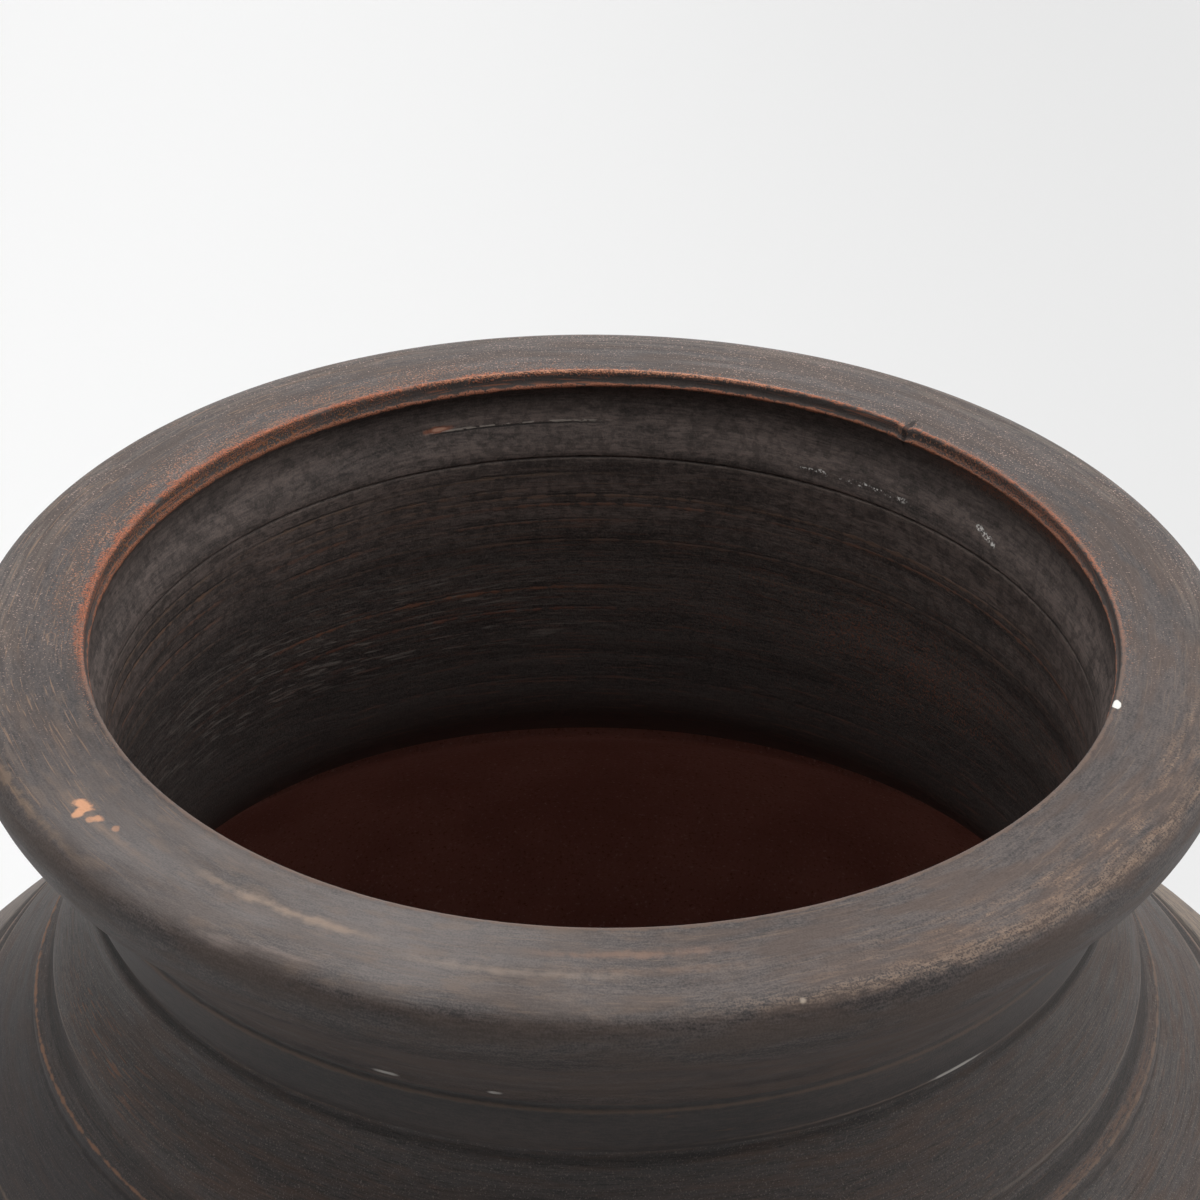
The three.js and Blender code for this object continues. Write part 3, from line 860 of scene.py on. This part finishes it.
# Specks of clay, 0.4 to 0.9 mm across: pale ones round the back, orange ones towards the lip.
speck_patches = shown(rim_slip, ("clouds", 0.35, 0.65), back_half)
pale_specks = specks(rim_slip, 0.42, shown(rim_slip, speck_patches, 0.24), seed=1)
lay(rim_slip, "#b0958a", 0.82, pale_specks, back_half, on_top, 0.8)
lip_side = shown(rim_slip, ("radius", 110, 105.5), back_half, 0.8)
worn_reach = shown(rim_slip, ("radius", 120, 106), arc(rim_slip, 140, 36, 20))
orange_share = node(rim_slip["tree"], "Math", {0: lip_side, 1: worn_reach}, operation="MAXIMUM")
speck_drifts = lines(rim_slip, 2, 8, 4, 10, 0.3, 0.6)
orange_specks = specks(rim_slip, 0.42, shown(rim_slip, orange_share, speck_drifts, 0.6), seed=3)
orange_specks = shown(rim_slip, orange_specks, (orange_share, 0.02, 0.3), on_top)
lay(rim_slip, "#a8775f", 0.86, orange_specks, 0.8)
crumb_share = shown(rim_slip, ("radius", 110, 106.5), arc(rim_slip, 105, 60, 25), speck_drifts)
big_specks = specks(rim_slip, 0.9, shown(rim_slip, crumb_share, 0.3), seed=6)
lay(rim_slip, "#a87258", 0.86, big_specks, crumb_share, on_top, 0.8)


def worn_lip(coat):
    """Orange clay on the two ridges of the lip, crumbled and broken, with grey slip on the band between.
    It is bright round the back, where the slip is rubbed off, with a painted highlight on the upper ridge
    at the very back, and only a dull thin line at the front."""
    well_worn = arc(coat, 130, 58, 12)
    less_worn = shown(coat, arc(coat, 56, 50, 18), 0.85)
    wear = node(coat["tree"], "Math", {0: well_worn, 1: less_worn}, operation="MAXIMUM")
    grit = shown(coat, ("grain", 0.38, 0.54))
    gaps = lines(coat, 4, 6, 4, 13, 0.34, 0.5)
    fine_threads = brushed(coat, 0.45, 14, 3, seed=12)
    left_threads = shown(coat, (fine_threads, 0.51, 0.58), arc(coat, 160, 26, 10), grit)
    torn = shown(coat, arc(coat, 146, 26, 12), ("crumbs", 0.0, 0.12), gaps)
    between = near_ring(coat, (105.1, 353.4), 1.7, 0.4, 0.6)
    lay(coat, "#4c4340", 0.8, between, 0.5)
    lay(coat, "#94604a", 0.88, between, (fine_threads, 0.55, 0.63), wear, 0.75)
    lay(coat, "#a0664c", 0.88, between, left_threads, 0.65, relief=0.08)
    lay(coat, "#95603f", 0.88, between, torn, 0.8, relief=0.1)
    lay(coat, "#a97457", 0.88, between, ("crumbs", 0.06, 0.13), arc(coat, 44.5, 6, 4), 0.75, relief=0.12)
    upper = near_ring(coat, (105.75, 354.95), 0.42, 0.25, 1.6)
    lay(coat, "#7d6659", 0.85, upper, 0.5)
    lay(coat, "#b87052", 0.88, upper, gaps, grit, wear, 0.95, relief=0.12)
    upper_wide = near_ring(coat, (105.95, 354.85), 0.65, 0.3, 4, "crumbs")
    lay(coat, "#b06b4f", 0.88, upper_wide, arc(coat, 140, 48, 12), gaps, grit, 0.9, relief=0.1)
    tuft_patches = lines(coat, 3, 3.5, 3, 11, 0.46, 0.56)
    tufts = shown(coat, near_ring(coat, (106.2, 354.75), 1.2, 0.4, 4.5, "crumbs"), tuft_patches, grit)
    lay(coat, "#b66f52", 0.88, tufts, arc(coat, 138, 46, 12), 0.9, relief=0.15)
    lay(coat, "#bd8664", 0.88, tufts, ("crumbs", 0.04, 0.12), arc(coat, 43, 7, 3), 0.85, relief=0.15)
    # A painted highlight on the upper ridge at the very back, in a lighter orange.
    upper_back_highlight = near_ring(coat, (105.75, 354.95), 0.65, 0.3, 2.5, "crumbs")
    lay(coat, "#d09273", 0.88, upper_back_highlight, grit, arc(coat, 90, 18, 10), 0.9, relief=0.1)
    lower = near_ring(coat, (104.45, 351.95), 0.36, 0.22, 1.4)
    lower_grit = shown(coat, ("grain", 0.32, 0.5))
    lay(coat, "#a06549", 0.88, lower, lower_grit, 0.9, relief=0.08)
    lay(coat, "#b4735a", 0.88, lower, lower_grit, arc(coat, 90, 25, 12), 0.6)
    right_dust = near_ring(coat, (104.6, 352.0), 3.2, 1.4, 5, "crumbs")
    lay(coat, "#8f5b45", 0.88, right_dust, ("grain", 0.44, 0.58), arc(coat, 30, 10, 9), 0.75, relief=0.05)


worn_lip(rim_slip)
worn_lip(bore_slip)

# Damage: chips down to the pale clay on the left, a nick in the lip, a chip and scuffs inside, a speck of
# white paint, and two glints of it under the rim.
for radius, degrees, length, width, amount in (
    (119.2, 214.0, 2.7, 2.8, 1), (118.7, 214.9, 2.7, 2.8, 1), (119.8, 214.9, 2.4, 2.5, 1),
    (121.0, 215.3, 1.8, 2.3, 0.95), (118.8, 217.2, 2.2, 2.1, 0.8), (120.0, 216.8, 1.7, 1.7, 0.6),
    (118.0, 219.4, 1.5, 1.5, 0.45),
):
    chip = mark(rim_slip, radius, 353.7, degrees, length, width, 2.2, 0.35)
    lay(rim_slip, "#cf9a78", 0.9, chip, amount, relief=-0.04)
for coat in (rim_slip, bore_slip):
    nick_shade = mark(coat, 105.7, 353.9, 50.75, 1.4, 8, 0.5, 0.3)
    lay(coat, "#241c1a", 0.85, nick_shade, 0.75)
    nick_edge = mark(coat, 105.6, 354.8, 51.6, 0.7, 3.4, 0.6, 0.3)
    lay(coat, "#93705c", 0.85, nick_edge, 0.6)
    lay(coat, "#efece6", 0.5, mark(coat, 106.2, 354.9, 344, 3.2, 2.0, 0.6), relief=0.2)
inner_chip = mark(bore_slip, 104.8, 343.1, 111.25, 6.2, 1.6, 1.6, 0.3)
lay(bore_slip, "#96604b", 0.88, inner_chip, 0.9, relief=-0.05)
chip_core = mark(bore_slip, 104.8, 343.2, 111.0, 3.6, 0.9, 1.2, 0.3)
lay(bore_slip, "#cb9c85", 0.88, chip_core, 0.85)
chip_arc = arc(bore_slip, 101, 10, 3)
chip_tail = near_ring(bore_slip, (104.53, 342.0), 0.22, 0.15, 0.6)
lay(bore_slip, "#151211", 0.8, chip_tail, chip_arc, 0.8, relief=-0.06)
scuff_dashes = lines(bore_slip, 0.7, 2.4, 2, 13, 0.49, 0.55)
tail_edge = near_ring(bore_slip, (104.65, 342.4), 0.2, 0.12, 0.6)
lay(bore_slip, "#b5aba1", 0.8, tail_edge, chip_arc, scuff_dashes, 0.6)
long_scuff = shown(
    bore_slip, near_ring(bore_slip, (103.1, 337.6), 0.45, 0.2, 1.6), arc(bore_slip, 57, 7.5, 1),
)
flecks = shown(bore_slip, ("crumbs", -0.03, 0.06))
lay(bore_slip, "#e2dfda", 0.7, long_scuff, scuff_dashes, flecks)
for radius, height, degrees, length in (
    (103.9, 340.1, 37.2, 2.2), (103.75, 339.6, 36.3, 1.6), (103.55, 339.1, 35.4, 2.2),
    (103.35, 338.5, 34.4, 1.5),
):
    short_scuff = mark(bore_slip, radius, height, degrees, length, 1.4, 1.4, 0.3)
    lay(bore_slip, "#e2dfda", 0.7, short_scuff, flecks)
for degrees, length in ((249.25, 6), (260.25, 3)):
    heel_glint = mark(rim_slip, 110.5, 319.6, degrees, length, 1.5, 0.6, 0.3)
    lay(rim_slip, "#c9c4be", 0.55, heel_glint, 0.7)


def torn_lip(shape):
    """Tears the crests of the lip, lets the lower one sag on the left, nicks the lip on the right and
    rucks up the clay on the front edge."""
    tear, sag, nick_depth, ruck_lift, ruck_out = 0.13, 1.2, 0.9, 0.35, 0.7
    sag_way, nick_way, ruck_way = 150, 50.75, 241.75
    nick_foot, nick_rise = 350.5, 2
    coarse, fine = 1.8 * mm, 0.8 * mm
    for corner in shape.verts:
        radius = math.hypot(corner.co.x, corner.co.y) / mm
        level = corner.co.z / mm
        turn = math.degrees(math.atan2(corner.co.y, corner.co.x)) % 360
        out = Vector((corner.co.x, corner.co.y, 0)).normalized()
        crumble = tear * (noise.noise(corner.co / coarse) + 0.9 * noise.noise(corner.co / fine))
        upper = bell(radius, 105.7, 0.8) * bell(level, 354.9, 0.7)
        lower = bell(radius, 104.45, 0.5) * bell(level, 351.9, 0.6)
        nick = bell(turn, nick_way, 0.7) * min(max((level - nick_foot) / nick_rise, 0), 1)
        nick *= bell(radius, 105.3, 2.2)
        ruck = bell(turn, ruck_way, 4) * bell(radius, 127, 1.4) * bell(level, 352.3, 1.6)
        sagging = max(math.cos(math.radians(turn - sag_way)), 0) ** 2
        sagging *= bell(radius, 104.6, 1.5) * bell(level, 351.5, 1.5)
        corner.co.z += (upper * crumble - nick_depth * nick + ruck_lift * ruck - sag * sagging) * mm
        corner.co += out * ((upper - lower) * crumble + ruck_out * ruck) * mm


rim = ring_piece("rim_thrown", rim_outline, fired(rim_slip), fired(bore_slip), 512, 0, torn_lip)
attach(rim, "pot")
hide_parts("rim")


# Floor: a wide sheet of plain white paper that the pot stands on. Its colour is painted paler on the
# left and greyer to the right, as painted light falling more on the left.
floor_shape = bmesh.new()
bmesh.ops.create_grid(floor_shape, x_segments=1, y_segments=1, size=6)
paper, paper_tree, paper_spot = fresh_material("matt_white_paper")
# Painted light: the paper's colour darkens from left to right.
paper_across = node(paper_tree, "SeparateXYZ", {0: paper_spot}, "X")
paper_shade = node(
    paper_tree, "MapRange", {"Value": paper_across, "From Min": -300, "From Max": 300},
    interpolation_type="SMOOTHSTEP",
)
paper_colour = node(
    paper_tree, "Mix", {0: paper_shade, 6: linear("#f2f2f2"), 7: linear("#dfdfdf")}, 2,
    data_type="RGBA",
)
paper_surface = node(
    paper_tree, "BsdfPrincipled",
    {"Base Color": paper_colour, "Roughness": 0.9, "Specular IOR Level": 0.1},
)
node(paper_tree, "OutputMaterial", {"Surface": paper_surface})
floor = made_piece("floor", floor_shape, paper)


# Light: a plain studio with a soft box overhead, a wide lit wall behind and a weaker soft box at each
# side, so that the side of the pot towards the camera is the darker one.
world = bpy.data.worlds.new("studio")
world.use_nodes = True
world_tree = world.node_tree
world_tree.nodes.clear()
world_light = node(world_tree, "Background", {"Color": (1, 1, 1, 1), "Strength": 0.02})
node(world_tree, "OutputWorld", {"Surface": world_light})
bpy.context.scene.world = world
pot_middle = Vector((0, 0, 0.3))
for name, place, width, depth, watts in (
    ("soft_box_above", Vector((0, 0, 2.1)), 2.0, 2.0, 41),
    ("lit_wall_behind", Vector((0, 2.3, 0.9)), 4.0, 1.8, 38),
    ("soft_box_left", Vector((-1.8, 0.2, 1.0)), 1.4, 1.4, 5),
    ("soft_box_right", Vector((1.8, 0.2, 1.0)), 1.4, 1.4, 15),
):
    lamp = bpy.data.lights.new(name, "AREA")
    lamp.shape = "RECTANGLE"
    lamp.size = width
    lamp.size_y = depth
    lamp.energy = watts
    holder = bpy.data.objects.new(name, lamp)
    holder.location = place
    holder.rotation_euler = (pot_middle - place).to_track_quat("-Z", "Y").to_euler()
    holder.visible_camera = False
    bpy.context.scene.collection.objects.link(holder)


# Camera: a long lens held above the pot and close in, looking down across the mouth.
camera_data = bpy.data.cameras.new("camera")
camera_data.lens = 120
camera_data.sensor_width = 36
camera_data.clip_start = 0.01
camera = bpy.data.objects.new("camera", camera_data)
tilt = math.radians(31.97)
roll = math.radians(0.81)
looking = Vector((0, math.cos(tilt), -math.sin(tilt)))
level_right = Vector((1, 0, 0))
level_up = Vector((0, math.sin(tilt), math.cos(tilt)))
camera_right = math.cos(roll) * level_right + math.sin(roll) * level_up
camera_up = -math.sin(roll) * level_right + math.cos(roll) * level_up
turn_of_camera = Matrix((camera_right, camera_up, -looking)).transposed()
camera_place = Vector((-0.00044, -0.6908, 0.7905))
camera.matrix_world = Matrix.Translation(camera_place) @ turn_of_camera.to_4x4()
bpy.context.scene.collection.objects.link(camera)
bpy.context.scene.camera = camera
bpy.context.scene.view_settings.view_transform = "Standard"
